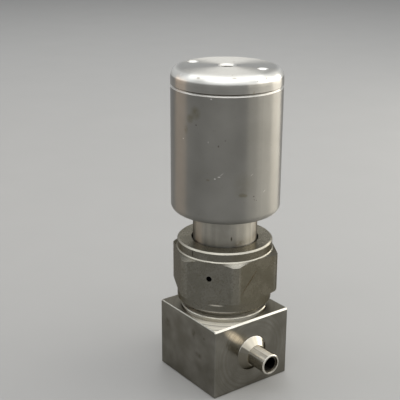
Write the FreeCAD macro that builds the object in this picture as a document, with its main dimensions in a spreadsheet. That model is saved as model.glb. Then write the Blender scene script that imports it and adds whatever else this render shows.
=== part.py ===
import FreeCAD, Part
import os
import Sketcher

# Bellows sealed valve, normally closed, worked by air.
# A square block with two tube stubs in line carries a bonnet under a hexagon nut, and the bonnet
# carries the round actuator. The bellows seals the stem; two pistons lift it against two springs.
# Millimetres. Z runs up the stem axis, X along the flow. The origin is the middle of the block's base.

SIZES = {
    # Valve block
    "block_width": 28.4,
    "block_height": 22.4,
    "block_edge": 0.25,
    "block_port_side_edge": 0.5,
    "boss_inset": 0.75,
    "boss_height": 1.4,
    "boss_edge": 0.25,
    "relief_depth": 1.05,
    "relief_height": 2.1,
    "body_thread_diameter": 25.3,
    "body_thread_edge": 0.7,
    # Flow passages and seat
    "port_height": 11.2,
    "passage_diameter": 4.0,
    "riser_diameter": 3.6,
    "riser_offset": 6.2,
    "floor_above_port": 3.4,
    "cavity_clearance": 1.6,
    "seat_height": 1.0,
    "seat_land": 0.9,
    "seat_flare": 0.7,
    # Tube stubs
    "stub_length": 9.0,
    "stub_diameter": 6.35,
    "stub_root_diameter": 11.0,
    "stub_root_length": 2.05,
    "stub_shoulder": 0.2,
    "stub_edge": 0.2,
    "mouth_wall": 0.5,
    "mouth_depth": 0.55,
    # Tapped holes in the base
    "mount_hole_spacing": 19.05,
    "mount_hole_diameter": 4.2,
    "mount_hole_depth": 6.5,
    # Stem head and its soft tip
    "seat_contact_gap": 0.02,
    "tip_diameter": 6.6,
    "tip_stand": 1.28,
    "tip_seat_depth": 1.7,
    "head_diameter": 11.0,
    "head_thickness": 3.9,
    "head_edge": 0.4,
    "head_spigot_height": 1.2,
    "head_thread_depth": 2.8,
    # Bellows
    "bellows_outer_diameter": 14.0,
    "bellows_inner_diameter": 9.6,
    "bellows_wall": 0.2,
    "bellows_pitch": 1.6,
    "bellows_count": 8,
    "bend_bevel": 0.586,
    "bellows_cuff": 1.3,
    "bellows_spigot_clearance": 0.02,
    # Weld ring and gasket, clamped between block and bonnet
    "ring_thickness": 2.0,
    "ring_sink": 0.4,
    "ring_bore": 6.0,
    "ring_spigot_height": 1.8,
    "ring_pocket_clearance": 0.1,
    "neck_wall": 2.05,
    "gasket_thickness": 0.8,
    "gasket_width": 1.3,
    # Valve stem and guide bush
    "stem_diameter": 5.0,
    "stem_thread_diameter": 4.0,
    "stem_top_thread_length": 6.0,
    "thread_clearance": 0.05,
    "bush_outer_diameter": 8.0,
    "bush_length": 7.5,
    "bush_fit": 0.02,
    "stem_running_clearance": 0.05,
    # Bonnet
    "flange_clearance": 0.65,
    "flange_thickness": 2.8,
    "bonnet_neck_diameter": 19.6,
    "bonnet_neck_length": 13.5,
    "spigot_diameter": 15.8,
    "spigot_rise": 0.6,
    "spigot_edge": 0.4,
    "stem_passage_diameter": 5.8,
    "rod_pit_depth": 1.0,
    # Bonnet nut
    "nut_gap": 1.76,
    "nut_roof": 4.32,
    "nut_wall": 1.9,
    "nut_flat_step": 0.25,
    "nut_corner_rise": 1.8,
    "nut_lower_collar_height": 3.65,
    "nut_upper_collar_height": 3.04,
    "hex_lower_chamfer": 0.5,
    "hex_upper_chamfer": 0.89,
    "nut_top_edge": 0.45,
    "nut_root_bevel": 0.3,
    "nut_bottom_edge": 0.6,
    "nut_hole_clearance": 0.45,
    "nut_thread_clearance": 0.05,
    "nut_turn": 34.1,
    "leak_hole_diameter": 1.7,
    "leak_hole_rise": 0.4,
    # Actuator cylinder
    "cylinder_diameter": 32.9,
    "cylinder_base_fillet": 2.1,
    "cylinder_rim_bevel": 0.45,
    "floor_thickness": 4.0,
    "cylinder_wall": 1.95,
    "divider_step": 0.5,
    "cap_thread_depth": 0.5,
    "cap_thread_runout": 0.5,
    "vent_diameter": 1.2,
    # Pistons and stroke
    "lift": 1.5,
    "air_gap": 1.6,
    "piston_height": 4.4,
    "piston_clearance": 0.1,
    "piston_edge": 0.3,
    "stroke_clearance": 1.2,
    "piston_rest_gap": 0.9,
    # Divider plate and its snap ring
    "divider_thickness": 4.2,
    "divider_clearance": 0.05,
    "snap_thickness": 1.0,
    "snap_groove_depth": 0.6,
    "snap_width": 2.4,
    "snap_clearance": 0.05,
    "snap_opening": 40.0,
    "snap_lug_diameter": 4.0,
    "snap_lug_inset": 0.3,
    "snap_lug_turn": 9.3,
    "snap_eye_diameter": 1.5,
    # Piston rod
    "rod_foot_diameter": 10.0,
    "rod_middle_diameter": 8.0,
    "rod_tip_diameter": 6.0,
    "rod_foot_engagement": 8.6,
    "rod_thread_spare": 0.5,
    "rod_air_passage": 2.6,
    "cross_hole_diameter": 1.4,
    "rod_running_clearance": 0.1,
    "rod_piston_clearance": 0.05,
    "rod_top_gap": 2.5,
    # Rod clips
    "clip_thickness": 0.8,
    "clip_groove_depth": 0.4,
    "clip_width": 1.9,
    "clip_clearance": 0.05,
    "clip_opening": 80.0,
    # Return springs
    "spring_length": 14.7,
    "outer_spring_clearance": 0.7,
    "outer_spring_wire": 2.2,
    "outer_spring_turns": 4.5,
    "inner_spring_clearance": 1.3,
    "inner_spring_wire": 1.6,
    "inner_spring_turns": 5.5,
    "spring_flat_turn": 0.8,
    "spring_lengths_per_turn": 20,
    "spring_wire_sides": 8,
    # Actuator cap
    "cap_height": 5.4,
    "cap_fillet": 3.3,
    "cap_rim_bevel": 0.4,
    "cap_recess": 0.5,
    "skirt_length": 6.1,
    "skirt_wall": 1.75,
    "hub_diameter": 10.6,
    "hub_length": 7.0,
    "hub_gland_rise": 1.4,
    "rod_bore_spare": 0.5,
    "port_diameter": 4.2,
    "port_countersink": 0.55,
    "spanner_inset": 5.25,
    "spanner_hole_diameter": 2.1,
    "spanner_hole_depth": 2.4,
    "spanner_countersink": 0.6,
    "spanner_turn": 25.5,
    # Seal rings: section, and the slack of each ring in its groove
    "static_seal_section": 1.2,
    "rod_seal_section": 1.2,
    "piston_seal_section": 1.6,
    "cap_seal_section": 1.0,
    "seal_slack": 0.05,
    "seal_groove_spare": 0.2,
    "cap_seal_drop": 0.6,
    "spigot_seal_rise": 0.4,
    "rod_gland_drop": 0.6,
}

FITS = {
    # Diameters that follow from a neighbour's, across a wall or a clearance
    "boss_diameter": "Size.block_width - 2 * Size.boss_inset",
    "relief_diameter": "Size.body_thread_diameter - 2 * Size.relief_depth",
    "cavity_diameter": "Size.bellows_outer_diameter + 2 * Size.cavity_clearance",
    "ring_pocket_diameter": "Size.body_thread_diameter - 2 * Size.neck_wall",
    "ring_diameter": "Fit.ring_pocket_diameter - 2 * Size.ring_pocket_clearance",
    "gasket_inner_diameter": "Fit.ring_diameter - 2 * Size.gasket_width",
    "flange_diameter": "Size.body_thread_diameter - 2 * Size.flange_clearance",
    "nut_collar_diameter": "Size.body_thread_diameter + 2 * Size.nut_wall",
    "nut_flats": "Fit.nut_collar_diameter + 2 * Size.nut_flat_step",
    "nut_corner_diameter": "Fit.nut_flats + 2 * Size.nut_corner_rise",
    "upper_bore_diameter": "Size.cylinder_diameter - 2 * Size.cylinder_wall",
    "lower_bore_diameter": "Fit.upper_bore_diameter - 2 * Size.divider_step",
    "cap_thread_diameter": "Fit.upper_bore_diameter + 2 * Size.cap_thread_depth",
    "skirt_diameter": "Fit.cap_thread_diameter - 2 * Size.thread_clearance",
    "skirt_inner_diameter": "Fit.skirt_diameter - 2 * Size.skirt_wall",
    "outer_spring_diameter": "Fit.skirt_inner_diameter - 2 * Size.outer_spring_clearance",
    "outer_spring_mean_diameter": "Fit.outer_spring_diameter - Size.outer_spring_wire",
    "inner_spring_hole_diameter": "Size.hub_diameter + 2 * Size.inner_spring_clearance",
    "inner_spring_mean_diameter": "Fit.inner_spring_hole_diameter + Size.inner_spring_wire",
    "spanner_circle": "Size.cylinder_diameter - 2 * Size.spanner_inset",
}

LEVELS = {
    # Heights up the stem axis, each worked out from the one below it
    "boss_top": "Size.block_height + Size.boss_height",
    "relief_top": "Level.boss_top + Size.relief_height",
    "cavity_floor": "Size.port_height + Size.floor_above_port",
    "seat_top": "Level.cavity_floor + Size.seat_height",
    "tip_bottom": "Level.seat_top + Size.seat_contact_gap",
    "head_bottom": "Level.tip_bottom + Size.tip_stand",
    "tip_top": "Level.head_bottom + Size.tip_seat_depth",
    "head_top": "Level.head_bottom + Size.head_thickness",
    "head_spigot_top": "Level.head_top + Size.head_spigot_height",
    "bellows_low": "Level.head_top + Size.bellows_cuff",
    "bellows_high": "Level.bellows_low + Size.bellows_count * Size.bellows_pitch",
    "ring_bottom": "Level.bellows_high + Size.bellows_cuff",
    "gasket_bottom": "Level.ring_bottom - Size.gasket_thickness",
    "body_top": "Level.ring_bottom + Size.ring_sink",
    "ring_top": "Level.ring_bottom + Size.ring_thickness",
    "flange_top": "Level.ring_top + Size.flange_thickness",
    "nut_bottom": "Level.boss_top + Size.nut_gap",
    "hex_bottom": "Level.nut_bottom + Size.nut_lower_collar_height",
    "nut_top": "Level.flange_top + Size.nut_roof",
    "hex_top": "Level.nut_top - Size.nut_upper_collar_height",
    "leak_hole": "Level.body_top + Size.leak_hole_rise",
    "cylinder_bottom": "Level.flange_top + Size.bonnet_neck_length",
    "floor_top": "Level.cylinder_bottom + Size.floor_thickness",
    "spigot_top": "Level.floor_top + Size.spigot_rise",
    "rod_bottom": "Level.spigot_top - Size.rod_foot_engagement",
    "bush_top": "Level.rod_bottom - Size.rod_pit_depth",
    "bush_bottom": "Level.bush_top - Size.bush_length",
    "lower_piston_bottom": "Level.spigot_top + Size.air_gap",
    "lower_piston_top": "Level.lower_piston_bottom + Size.piston_height",
    "divider_bottom": "Level.lower_piston_top + Size.lift + Size.stroke_clearance",
    "divider_top": "Level.divider_bottom + Size.divider_thickness",
    "snap_top": "Level.divider_top + Size.snap_thickness",
    "upper_piston_bottom": "Level.snap_top + Size.piston_rest_gap",
    "upper_piston_top": "Level.upper_piston_bottom + Size.piston_height",
    "spring_top": "Level.upper_piston_top + Size.spring_length",
    "cylinder_top": "Level.spring_top - Size.cap_recess",
    "cap_top": "Level.cylinder_top + Size.cap_height",
    "skirt_bottom": "Level.cylinder_top - Size.skirt_length",
    "hub_bottom": "Level.spring_top - Size.hub_length",
    "rod_top": "Level.spring_top - Size.rod_top_gap",
    "rod_bore_top": "Level.rod_top + Size.lift + Size.rod_bore_spare",
    # Middle heights of the seal rings
    "cap_seal": "Level.cylinder_top - Size.cap_seal_drop - Size.cap_seal_section / 2",
    "rod_top_seal": "Level.hub_bottom + Size.hub_gland_rise + Size.rod_seal_section / 2",
    "upper_piston_seal": "Level.upper_piston_bottom + Size.piston_height / 2",
    "divider_seal": "Level.divider_bottom + Size.divider_thickness / 2",
    "lower_piston_seal": "Level.lower_piston_bottom + Size.piston_height / 2",
    "rod_foot_seal": "Level.spigot_top - Size.rod_gland_drop - Size.rod_seal_section / 2",
    "spigot_seal": "Level.cylinder_bottom + Size.spigot_seal_rise + Size.static_seal_section / 2",
    # Air holes
    "lower_cross_hole": "(Level.spigot_top + Level.lower_piston_bottom) / 2",
    "upper_cross_hole": "(Level.divider_top + Level.upper_piston_bottom) / 2",
    "lower_vent": "Level.divider_bottom - Size.vent_diameter",
    "upper_vent": "Level.upper_piston_top + Size.lift + Size.vent_diameter",
}

doc = FreeCAD.newDocument("bellows_sealed_valve")
subparts = []


# Sheets and sketches

def fill_sheet(name, rows, mark):
    """Write one row for each value: its name, then the value under that name as alias."""
    sheet = doc.addObject("Spreadsheet::Sheet", name)
    for row, (alias, content) in enumerate(rows.items(), start=1):
        sheet.set(f"A{row}", alias)
        sheet.set(f"B{row}", f"{mark}{content}")
        sheet.setAlias(f"B{row}", alias)
    doc.recompute()
    return sheet


size_sheet = fill_sheet("Size", SIZES, "")
fit_sheet = fill_sheet("Fit", FITS, "=")
level_sheet = fill_sheet("Level", LEVELS, "=")


def value(formula):
    """The number that a formula on the sheets gives."""
    return float(size_sheet.evalExpression(formula))


def half(name):
    """The formula of a radius, from the name of its diameter."""
    sheet = "Fit" if name in FITS else "Size"
    return f"{sheet}.{name} / 2"


def origin_item(body, role):
    """One of a body's own origin planes or axes."""
    return [item for item in body.Origin.OriginFeatures if item.Role == role][0]


def new_body(label):
    """An empty body for one piece of the valve."""
    body = doc.addObject("PartDesign::Body", label)
    body.Label = label
    subparts.append(body)
    return body


def new_sketch(body, name, plane, lift=None):
    """A sketch on one of the body's own planes, lifted off it where a formula is given."""
    sketch = body.newObject("Sketcher::SketchObject", name)
    sketch.AttachmentSupport = [(origin_item(body, plane), "")]
    sketch.MapMode = "FlatFace"
    if lift:
        sketch.setExpression("AttachmentOffset.Base.z", lift)
    return sketch


def tie(sketch, kind, element, point, formula):
    """Hold a point of a sketch at a formula's distance from the origin, along one direction."""
    if formula == "0":
        axis = {"DistanceX": -2, "DistanceY": -1}[kind]
        sketch.addConstraint(Sketcher.Constraint("PointOnObject", element, point, axis))
        return
    rule = Sketcher.Constraint(kind, -1, 1, element, point, value(formula))
    index = sketch.addConstraint(rule)
    sketch.setExpression(f"Constraints[{index}]", formula)


def outline(body, name, corners, plane="XZ_Plane", lift=None):
    """A closed outline of straight edges, each corner a pair of formulas: across, then up."""
    sketch = new_sketch(body, name, plane, lift)
    places = [FreeCAD.Vector(value(across), value(up), 0) for across, up in corners]
    last = len(corners) - 1
    edges = [Part.LineSegment(places[i], places[i + 1 if i < last else 0]) for i in range(last + 1)]
    sketch.addGeometry(edges, False)
    for i, (across, up) in enumerate(corners):
        before = i - 1 if i else last
        sketch.addConstraint(Sketcher.Constraint("Coincident", before, 2, i, 1))
        if across == corners[before][0]:
            sketch.addConstraint(Sketcher.Constraint("Vertical", before))
        else:
            tie(sketch, "DistanceX", i, 1, across)
        if up == corners[before][1]:
            sketch.addConstraint(Sketcher.Constraint("Horizontal", before))
        else:
            tie(sketch, "DistanceY", i, 1, up)
    return sketch


def circles(body, name, plane, rounds, lift=None):
    """Circles on a plane, each given as formulas: across, up, radius."""
    sketch = new_sketch(body, name, plane, lift)
    for i, (across, up, radius) in enumerate(rounds):
        middle = FreeCAD.Vector(value(across), value(up), 0)
        sketch.addGeometry(Part.Circle(middle, FreeCAD.Vector(0, 0, 1), value(radius)), False)
        tie(sketch, "DistanceX", i, 3, across)
        tie(sketch, "DistanceY", i, 3, up)
        index = sketch.addConstraint(Sketcher.Constraint("Radius", i, value(radius)))
        sketch.setExpression(f"Constraints[{index}]", radius)
    return sketch


# Features

def finish(body, feature, removes):
    """Make a feature the body's last one, and see that it adds or removes as it should."""
    body.Tip = feature
    doc.recompute()
    before = feature.BaseFeature.Shape.Volume if feature.BaseFeature else 0.0
    gained = body.Shape.Volume - before
    if removes == (gained > 0) or gained == 0:
        raise RuntimeError(f"{feature.Name} changes the volume by {gained:.3f}")
    return feature


def revolve(body, name, sketch, kind, axis="V_Axis", angle=None):
    """Turn a sketch about one of its own axes, to add or to cut, through a full turn or an angle."""
    feature = body.newObject(kind, name)
    feature.Profile = sketch
    feature.ReferenceAxis = (sketch, [axis])
    feature.Angle = 360
    if angle:
        feature.Midplane = True
        feature.setExpression("Angle", angle)
    return finish(body, feature, kind == "PartDesign::Groove")


def turned(body, name, corners, angle=None):
    """Add a turned form about the stem axis."""
    sketch = outline(body, f"{name}_outline", corners)
    return revolve(body, name, sketch, "PartDesign::Revolution", angle=angle)


def bored(body, name, corners):
    """Cut a turned form about the stem axis."""
    sketch = outline(body, f"{name}_outline", corners)
    return revolve(body, name, sketch, "PartDesign::Groove")


def pocket(body, name, sketch, depth=None, side="One side", flip=False):
    """Cut a sketch into the body, to a depth or right through."""
    feature = body.newObject("PartDesign::Pocket", name)
    feature.Profile = sketch
    feature.SideType = side
    feature.Reversed = flip
    if depth:
        feature.setExpression("Length", depth)
    else:
        feature.Type = "ThroughAll"
    return finish(body, feature, True)


def rounded(body, name, form, rim, level, radius):
    """Round the turned edge that lies at a rim radius and a height."""
    edges = []
    for i, edge in enumerate(form.Shape.Edges, start=1):
        box = edge.BoundBox
        level_edge = abs(box.ZMin - value(level)) < 1e-6 and abs(box.ZMax - box.ZMin) < 1e-6
        if level_edge and abs(box.XMax - value(rim)) < 1e-6:
            edges.append(f"Edge{i}")
    fillet = body.newObject("PartDesign::Fillet", name)
    fillet.Base = (form, edges)
    fillet.setExpression("Radius", radius)
    return finish(body, fillet, True)


def bevelled(body, name, block, along, size):
    """Bevel a block's straight edges: those for which a test of their two ends holds."""
    edges = []
    for i, edge in enumerate(block.Shape.Edges, start=1):
        first, last = edge.Vertexes[0].Point, edge.Vertexes[-1].Point
        if along(first, last):
            edges.append(f"Edge{i}")
    bevel = body.newObject("PartDesign::Chamfer", name)
    bevel.Base = (block, edges)
    bevel.setExpression("Size", size)
    return finish(body, bevel, True)


def ring_of(body, name, feature, count):
    """Repeat a cut about the stem axis."""
    pattern = body.newObject("PartDesign::PolarPattern", name)
    pattern.Originals = [feature]
    pattern.Axis = (origin_item(body, "Z_Axis"), [""])
    pattern.Angle = 360
    pattern.Occurrences = count
    return finish(body, pattern, True)


def mirrored(body, name, feature, plane, removes):
    """Repeat a feature on the other side of one of the body's planes."""
    copy = body.newObject("PartDesign::Mirrored", name)
    copy.Originals = [feature]
    copy.MirrorPlane = (origin_item(body, plane), [""])
    return finish(body, copy, removes)


def seal_ring(label, middle_radius, section, height):
    """A round seal ring about the stem axis."""
    ring = doc.addObject("Part::Torus", label)
    ring.Label = label
    ring.setExpression("Radius1", middle_radius)
    ring.setExpression("Radius2", f"{section} / 2")
    ring.setExpression("Placement.Base.z", height)
    subparts.append(ring)
    return ring


def groove_corners(wall, depth_radius, section, middle, downward):
    """The four corners of a seal ring's groove in a wall, in the order that the outline runs."""
    reach = f"({section} + Size.seal_groove_spare) / 2"
    top = f"{middle} + {reach}"
    low = f"{middle} - {reach}"
    first, second = (top, low) if downward else (low, top)
    return [(wall, first), (depth_radius, first), (depth_radius, second), (wall, second)]


# Radii of the seal rings and the floors of their grooves

def outward_seal(wall_radius, section):
    """Ring radius and groove floor for a ring that seals outward against a wall."""
    middle = f"{wall_radius} - Size.seal_slack - {section} / 2"
    floor = f"{wall_radius} - 2 * Size.seal_slack - {section}"
    return middle, floor


def inward_seal(shaft_radius, section):
    """Ring radius and groove floor for a ring that seals inward against a shaft."""
    middle = f"{shaft_radius} + Size.seal_slack + {section} / 2"
    floor = f"{shaft_radius} + 2 * Size.seal_slack + {section}"
    return middle, floor


# Valve block

def make_valve_body():
    """Square block with a round boss, a threaded neck, two tube stubs, the flow passages and the seat."""
    body = new_body("valve_body")
    edge = half("block_width")
    square = [(f"-{edge}", f"-{edge}"), (edge, f"-{edge}"), (edge, edge), (f"-{edge}", edge)]
    block = body.newObject("PartDesign::Pad", "block")
    block.Profile = outline(body, "block_outline", square, "XY_Plane")
    block.setExpression("Length", "Size.block_height")
    finish(body, block, False)

    top = value("Size.block_height")

    def over_port(first, last):
        return abs(first.x - last.x) < 1e-6 and min(first.z, last.z) > top - 1e-6

    def elsewhere(first, last):
        return abs(first.y - last.y) < 1e-6 or abs(first.z - last.z) > 1e-6 or first.z < 1e-6

    upper = bevelled(body, "port_side_edges", block, over_port, "Size.block_port_side_edge")
    bevelled(body, "block_edges", upper, elsewhere, "Size.block_edge")

    turned(body, "neck", [
        ("0", "Size.port_height"),
        (half("boss_diameter"), "Size.port_height"),
        (half("boss_diameter"), "Level.boss_top - Size.boss_edge"),
        (f"{half('boss_diameter')} - Size.boss_edge", "Level.boss_top"),
        (half("relief_diameter"), "Level.boss_top"),
        (half("relief_diameter"), "Level.relief_top"),
        (half("body_thread_diameter"), "Level.relief_top"),
        (half("body_thread_diameter"), "Level.body_top - Size.body_thread_edge"),
        (f"{half('body_thread_diameter')} - Size.body_thread_edge", "Level.body_top"),
        ("0", "Level.body_top"),
    ])
    make_stubs(body)
    make_cavity(body)
    make_mount_holes(body)


def make_stubs(body):
    """Two tube stubs in line, each growing out of the block over a short cone."""
    face = half("block_width")
    tube = half("stub_diameter")
    end = f"{face} + Size.stub_length"
    corners = [
        (f"{face} - Size.stub_root_length", "0"),
        (f"{face} - Size.stub_root_length", half("stub_root_diameter")),
        (face, half("stub_root_diameter")),
        (f"{face} + Size.stub_root_length", f"{tube} + Size.stub_shoulder"),
        (f"{face} + Size.stub_root_length", tube),
        (f"{end} - Size.stub_edge", tube),
        (end, f"{tube} - Size.stub_edge"),
        (end, "0"),
    ]
    sketch = outline(body, "stub_outline", corners)
    sketch.setExpression("AttachmentOffset.Base.y", "Size.port_height")
    stub = revolve(body, "stub", sketch, "PartDesign::Revolution", "H_Axis")
    mirrored(body, "other_stub", stub, "YZ_Plane", False)

    mouth_radius = f"{tube} - Size.mouth_wall"
    mouth_floor = f"{end} - Size.mouth_depth"
    bores = [
        ("outlet_bore", f"Size.riser_offset - {half('riser_diameter')}", mouth_floor, end),
        ("inlet_bore", "0", f"-({mouth_floor})", f"-({end})"),
    ]
    for name, inner_end, step, outer_end in bores:
        sketch = outline(body, f"{name}_outline", [
            (inner_end, "0"),
            (inner_end, half("passage_diameter")),
            (step, half("passage_diameter")),
            (step, mouth_radius),
            (outer_end, mouth_radius),
            (outer_end, "0"),
        ])
        sketch.setExpression("AttachmentOffset.Base.y", "Size.port_height")
        revolve(body, name, sketch, "PartDesign::Groove", "H_Axis")


def make_cavity(body):
    """The bellows cavity with its raised seat, the bore under the seat and the riser beside it."""
    seat_edge = f"{half('passage_diameter')} + Size.seat_land"
    pocket_radius = half("ring_pocket_diameter")
    bored(body, "cavity", [
        ("0", "Level.seat_top"),
        (seat_edge, "Level.seat_top"),
        (f"{seat_edge} + Size.seat_flare", "Level.cavity_floor"),
        (half("cavity_diameter"), "Level.cavity_floor"),
        (half("cavity_diameter"), "Level.gasket_bottom"),
        (pocket_radius, "Level.gasket_bottom"),
        (pocket_radius, "Level.body_top"),
        ("0", "Level.body_top"),
    ])
    under_seat = [("0", "0", half("passage_diameter"))]
    sketch = circles(body, "seat_bore_outline", "XY_Plane", under_seat, "Level.seat_top")
    pocket(body, "seat_bore", sketch, "Level.seat_top - Size.port_height")
    beside_seat = [("Size.riser_offset", "0", half("riser_diameter"))]
    sketch = circles(body, "riser_outline", "XY_Plane", beside_seat, "Level.cavity_floor")
    pocket(body, "riser", sketch, "Level.cavity_floor - Size.port_height")


def make_mount_holes(body):
    """Two blind tapped holes in the base, drilled to the tapping size."""
    places = [("0", half("mount_hole_spacing"), half("mount_hole_diameter"))]
    sketch = circles(body, "mount_hole_outline", "XY_Plane", places)
    hole = body.newObject("PartDesign::Hole", "mount_hole")
    hole.Profile = sketch
    hole.Threaded = False
    hole.DepthType = "Dimension"
    hole.DrillPoint = "Angled"
    hole.Reversed = True
    hole.setExpression("Diameter", "Size.mount_hole_diameter")
    hole.setExpression("Depth", "Size.mount_hole_depth")
    finish(body, hole, True)
    mirrored(body, "other_mount_hole", hole, "XZ_Plane", True)


# Bellows set

def make_bellows_gasket():
    """Flat metal ring between the block's neck and the weld ring."""
    body = new_body("bellows_gasket")
    turned(body, "gasket", [
        (half("gasket_inner_diameter"), "Level.gasket_bottom"),
        (half("ring_diameter"), "Level.gasket_bottom"),
        (half("ring_diameter"), "Level.ring_bottom"),
        (half("gasket_inner_diameter"), "Level.ring_bottom"),
    ])


def make_bellows_weld_ring():
    """Ring that the bellows' upper cuff is welded to, with a spigot that stands in the cuff."""
    body = new_body("bellows_weld_ring")
    spigot = f"{half('bellows_inner_diameter')} - Size.bellows_spigot_clearance"
    spigot_bottom = "Level.ring_bottom - Size.ring_spigot_height"
    turned(body, "weld_ring", [
        (half("ring_bore"), spigot_bottom),
        (spigot, spigot_bottom),
        (spigot, "Level.ring_bottom"),
        (half("ring_diameter"), "Level.ring_bottom"),
        (half("ring_diameter"), "Level.ring_top"),
        (half("ring_bore"), "Level.ring_top"),
    ])


def wave_corners():
    """One full wave of the bellows wall: half a trough, a crest and half a trough.

    Each bend is a short straight run between two bevels. Its far side is the wide one and its
    near side the tight one. The corners run up the side that faces the stem and down the other.
    """
    wide = "(Size.bellows_pitch / 4 + Size.bellows_wall / 2)"
    tight = "(Size.bellows_pitch / 4 - Size.bellows_wall / 2)"
    wide_bevel = f"Size.bend_bevel * {wide}"
    tight_bevel = f"Size.bend_bevel * {tight}"
    inner = half("bellows_inner_diameter")
    outer = half("bellows_outer_diameter")
    trough = f"{inner} + Size.bellows_wall"
    crest = f"{outer} - Size.bellows_wall"
    low = "Level.bellows_low"
    high = "Level.bellows_low + Size.bellows_pitch"
    lower_flank = (f"{low} + {tight}", f"{low} + {wide}")
    upper_flank = (f"{high} - {wide}", f"{high} - {tight}")
    return [
        (inner, low),
        (inner, f"{lower_flank[1]} - {wide_bevel}"),
        (f"{inner} + {wide_bevel}", lower_flank[1]),
        (f"{crest} - {tight_bevel}", lower_flank[1]),
        (crest, f"{lower_flank[1]} + {tight_bevel}"),
        (crest, f"{upper_flank[0]} - {tight_bevel}"),
        (f"{crest} - {tight_bevel}", upper_flank[0]),
        (f"{inner} + {wide_bevel}", upper_flank[0]),
        (inner, f"{upper_flank[0]} + {wide_bevel}"),
        (inner, high),
        (trough, high),
        (trough, f"{upper_flank[1]} + {tight_bevel}"),
        (f"{trough} + {tight_bevel}", upper_flank[1]),
        (f"{outer} - {wide_bevel}", upper_flank[1]),
        (outer, f"{upper_flank[1]} - {wide_bevel}"),
        (outer, f"{lower_flank[0]} + {wide_bevel}"),
        (f"{outer} - {wide_bevel}", lower_flank[0]),
        (f"{trough} + {tight_bevel}", lower_flank[0]),
        (trough, f"{lower_flank[0]} - {tight_bevel}"),
        (trough, low),
    ]


def make_bellows():
    """Thin wall of formed waves between two straight cuffs."""
    body = new_body("bellows")
    inner = half("bellows_inner_diameter")
    outer = f"{inner} + Size.bellows_wall"
    turned(body, "lower_cuff", [
        (inner, "Level.head_top"),
        (outer, "Level.head_top"),
        (outer, "Level.bellows_low"),
        (inner, "Level.bellows_low"),
    ])
    wave = turned(body, "wave", wave_corners())
    waves = body.newObject("PartDesign::LinearPattern", "waves")
    waves.Originals = [wave]
    waves.Direction = (origin_item(body, "Z_Axis"), [""])
    waves.setExpression("Length", "(Size.bellows_count - 1) * Size.bellows_pitch")
    waves.setExpression("Occurrences", "Size.bellows_count")
    finish(body, waves, False)
    turned(body, "upper_cuff", [
        (inner, "Level.bellows_high"),
        (outer, "Level.bellows_high"),
        (outer, "Level.ring_bottom"),
        (inner, "Level.ring_bottom"),
    ])


def make_stem_head():
    """Head that closes the bellows' lower end and holds the soft tip."""
    body = new_body("stem_head")
    rim = half("head_diameter")
    spigot = f"{half('bellows_inner_diameter')} - Size.bellows_spigot_clearance"
    thread = f"{half('stem_thread_diameter')} + Size.thread_clearance"
    thread_bottom = "Level.head_spigot_top - Size.head_thread_depth"
    turned(body, "head", [
        ("0", "Level.tip_top"),
        (half("tip_diameter"), "Level.tip_top"),
        (half("tip_diameter"), "Level.head_bottom"),
        (f"{rim} - Size.head_edge", "Level.head_bottom"),
        (rim, "Level.head_bottom + Size.head_edge"),
        (rim, "Level.head_top"),
        (spigot, "Level.head_top"),
        (spigot, "Level.head_spigot_top"),
        (thread, "Level.head_spigot_top"),
        (thread, thread_bottom),
        ("0", thread_bottom),
    ])


def make_stem_tip():
    """Soft disc that closes the seat."""
    body = new_body("stem_tip")
    turned(body, "tip", [
        ("0", "Level.tip_bottom"),
        (f"{half('tip_diameter')} - Size.head_edge", "Level.tip_bottom"),
        (half("tip_diameter"), "Level.tip_bottom + Size.head_edge"),
        (half("tip_diameter"), "Level.tip_top"),
        ("0", "Level.tip_top"),
    ])


def make_valve_stem():
    """Stem inside the bellows, screwed into the head below and the piston rod above."""
    body = new_body("valve_stem")
    thread = half("stem_thread_diameter")
    shank = half("stem_diameter")
    thread_bottom = "Level.head_spigot_top - Size.head_thread_depth + Size.thread_clearance"
    thread_top = "Level.rod_bottom + Size.stem_top_thread_length"
    turned(body, "stem", [
        ("0", thread_bottom),
        (thread, thread_bottom),
        (thread, "Level.head_spigot_top"),
        (shank, "Level.head_spigot_top"),
        (shank, "Level.rod_bottom"),
        (thread, "Level.rod_bottom"),
        (thread, thread_top),
        ("0", thread_top),
    ])


# Bonnet and nut

def make_stem_guide_bush():
    """Plain bush in the bonnet that guides the stem."""
    body = new_body("stem_guide_bush")
    inner = f"{half('stem_diameter')} + Size.stem_running_clearance"
    turned(body, "bush", [
        (inner, "Level.bush_bottom"), (half("bush_outer_diameter"), "Level.bush_bottom"),
        (half("bush_outer_diameter"), "Level.bush_top"), (inner, "Level.bush_top"),
    ])


def make_bonnet():
    """Flanged neck that clamps the weld ring and carries the actuator on its threaded spigot."""
    body = new_body("bonnet")
    rod_bore = f"{half('rod_foot_diameter')} + Size.rod_running_clearance"
    bush_bore = f"{half('bush_outer_diameter')} + Size.bush_fit"
    spigot = half("spigot_diameter")
    inner_floor = inward_seal(half("rod_foot_diameter"), "Size.rod_seal_section")[1]
    outer_floor = outward_seal(spigot_wall(), "Size.static_seal_section")[1]
    turned(body, "bonnet_form", [
        (half("stem_passage_diameter"), "Level.ring_top"),
        (half("flange_diameter"), "Level.ring_top"),
        (half("flange_diameter"), "Level.flange_top"),
        (half("bonnet_neck_diameter"), "Level.flange_top"),
        (half("bonnet_neck_diameter"), "Level.cylinder_bottom"),
        (spigot, "Level.cylinder_bottom"),
        *groove_corners(spigot, outer_floor, "Size.static_seal_section", "Level.spigot_seal", False),
        (spigot, "Level.spigot_top - Size.spigot_edge"),
        (f"{spigot} - Size.spigot_edge", "Level.spigot_top"),
        (rod_bore, "Level.spigot_top"),
        *groove_corners(rod_bore, inner_floor, "Size.rod_seal_section", "Level.rod_foot_seal", True),
        (rod_bore, "Level.bush_top"),
        (bush_bore, "Level.bush_top"),
        (bush_bore, "Level.bush_bottom"),
        (half("stem_passage_diameter"), "Level.bush_bottom"),
    ])


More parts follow.
